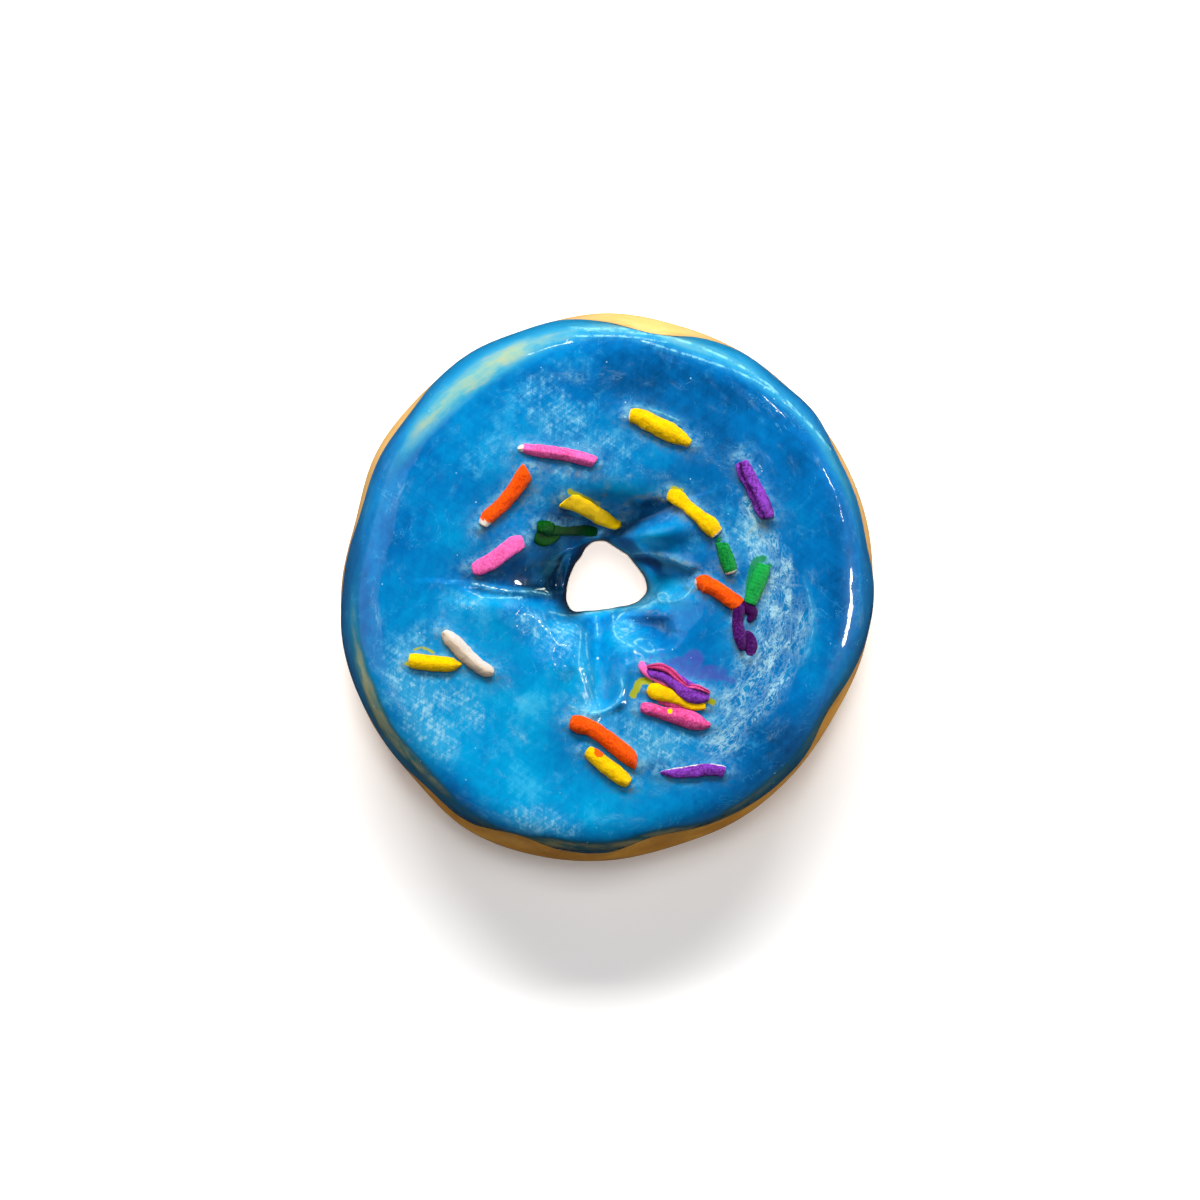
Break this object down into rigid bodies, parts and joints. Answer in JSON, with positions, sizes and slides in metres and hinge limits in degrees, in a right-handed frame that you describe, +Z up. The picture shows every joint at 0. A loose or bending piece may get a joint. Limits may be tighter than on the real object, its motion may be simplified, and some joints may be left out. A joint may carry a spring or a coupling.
{
  "type": "ceramic sprinkle doughnut",
  "caption": "Life-size glazed ceramic ring doughnut: a rounded tan body with a pinched hole, blue icing over its top and painted clay sprinkles.",
  "frame": {"origin": "on the surface it stands on, under the middle of its bounding box", "axes": "+Z up through the hole; +X and +Y in the plane of the ring, with the front channel of the icing towards -Y"},
  "size_m": [0.0989, 0.102, 0.0299],
  "materials": {
    "tan_glaze": "gloss",
    "blue_glaze": "polished",
    "paint_yellow": "satin",
    "paint_pink": "satin",
    "paint_orange": "satin",
    "paint_green": "satin",
    "paint_purple": "satin",
    "bare_clay": "matte"
  },
  "bodies": {
    "root": {"dough": "tan_glaze", "icing": "blue_glaze"}
  },
  "joints": []
}
